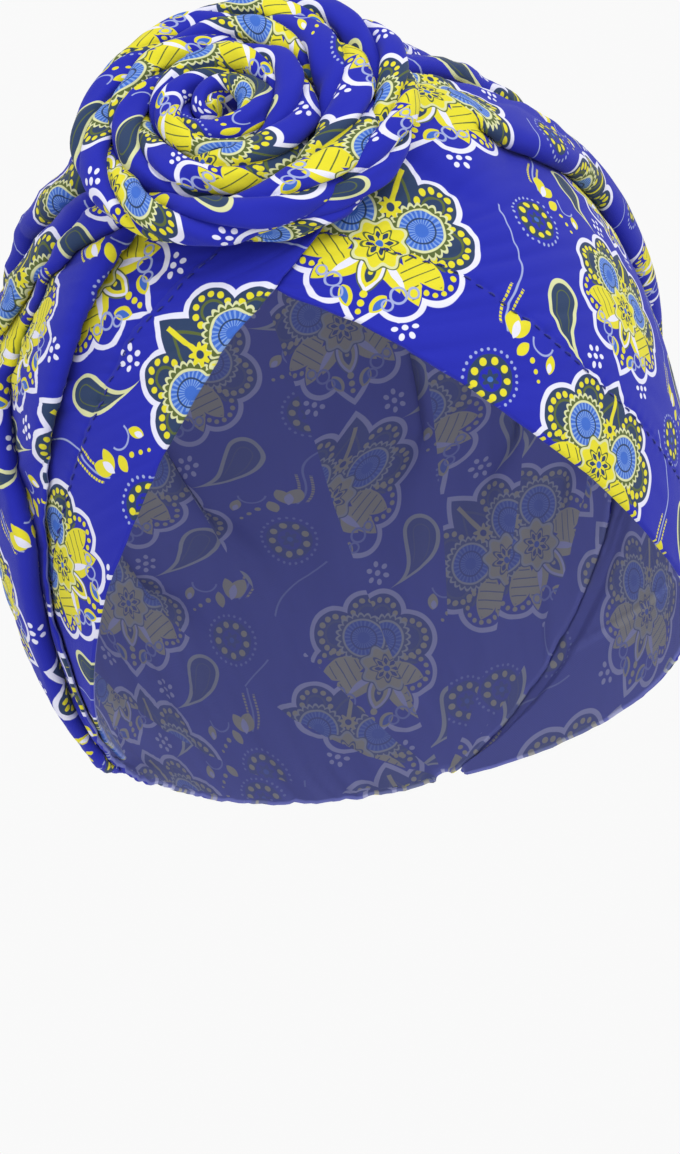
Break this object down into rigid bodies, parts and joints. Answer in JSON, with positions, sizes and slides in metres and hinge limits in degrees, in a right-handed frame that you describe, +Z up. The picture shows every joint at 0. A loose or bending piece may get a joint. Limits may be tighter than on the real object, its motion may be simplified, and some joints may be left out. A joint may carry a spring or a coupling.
{
  "type": "turban headwrap",
  "caption": "Pre-tied turban headwrap in printed jersey, with crossed front bands, a pleated crown and a coiled flower knot above the forehead.",
  "frame": {"origin": "inside of the crown's top, where the wearer's head carries the wrap", "axes": "+Z up the wearer's head, -Y towards the face opening, +X towards the side that is on the right when the wearer is seen from the front"},
  "size_m": [0.1819, 0.2132, 0.216],
  "materials": {
    "printed_jersey": "matt knitted cotton jersey, royal blue with a yellow, white and slate paisley print",
    "blue_thread": "matt sewing thread in the ground's blue"
  },
  "bodies": {
    "root": {"crown": "printed_jersey", "left_band": "printed_jersey", "right_band": "printed_jersey", "rosette": "printed_jersey"}
  },
  "joints": []
}
